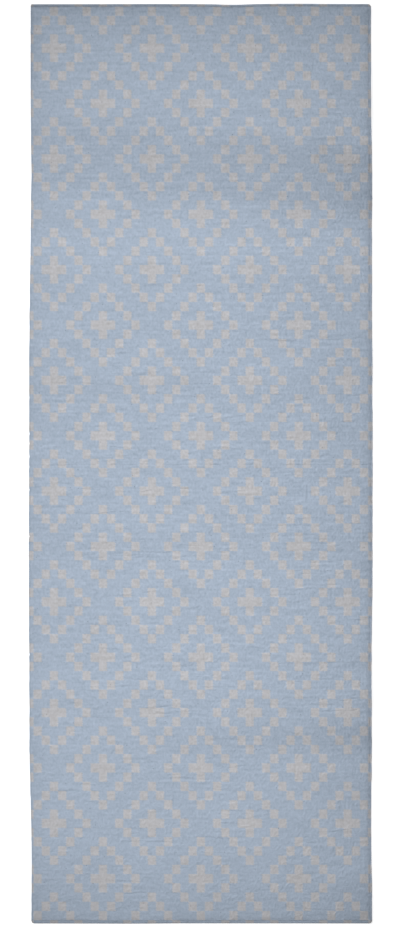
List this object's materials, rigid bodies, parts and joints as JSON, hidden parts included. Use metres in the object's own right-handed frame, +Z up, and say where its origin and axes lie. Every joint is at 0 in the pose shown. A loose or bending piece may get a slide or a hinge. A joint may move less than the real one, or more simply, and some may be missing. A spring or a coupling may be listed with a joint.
{
  "type": "runner rug",
  "caption": "Long flat-woven runner rug with a counted lattice of small squares, corded selvedges and narrow turned and stitched end hems, lying flat.",
  "frame": {"origin": "under the middle of the rug, on the surface that it lies on", "axes": "+Y along the length, towards the head end; +X across the width, to the right seen from above with the head up; +Z up, out of the walking face"},
  "size_m": [0.914, 2.451, 0.0054],
  "materials": {
    "weft_wool": "matt weft-faced wool, heathered blue-grey with warm pale grey squares",
    "warp_cotton": "matt unbleached twisted cotton cord",
    "hem_thread": "slightly lustrous spun sewing thread, blue-grey",
    "label_satin": "off-white woven satin ribbon, blank"
  },
  "bodies": {
    "root": {"head_heading": "weft_wool", "weft_band_01": "weft_wool", "weft_band_02": "weft_wool", "weft_band_03": "weft_wool", "weft_band_04": "weft_wool", "weft_band_05": "weft_wool", "weft_band_06": "weft_wool", "weft_band_07": "weft_wool", "weft_band_08": "weft_wool", "weft_band_09": "weft_wool", "weft_band_10": "weft_wool", "weft_band_11": "weft_wool", "weft_band_12": "weft_wool", "weft_band_13": "weft_wool", "weft_band_14": "weft_wool", "weft_band_15": "weft_wool", "weft_band_16": "weft_wool", "foot_heading": "weft_wool", "head_hem_roll": "weft_wool", "foot_hem_roll": "weft_wool", "warp_set": "warp_cotton", "selvedge_cord_left_outer": "warp_cotton", "selvedge_cord_left_inner": "warp_cotton", "selvedge_cord_right_outer": "warp_cotton", "selvedge_cord_right_inner": "warp_cotton", "head_hem_needle_thread": "hem_thread", "head_hem_bobbin_thread": "hem_thread", "foot_hem_needle_thread": "hem_thread", "foot_hem_bobbin_thread": "hem_thread", "care_label": "label_satin"}
  },
  "joints": []
}
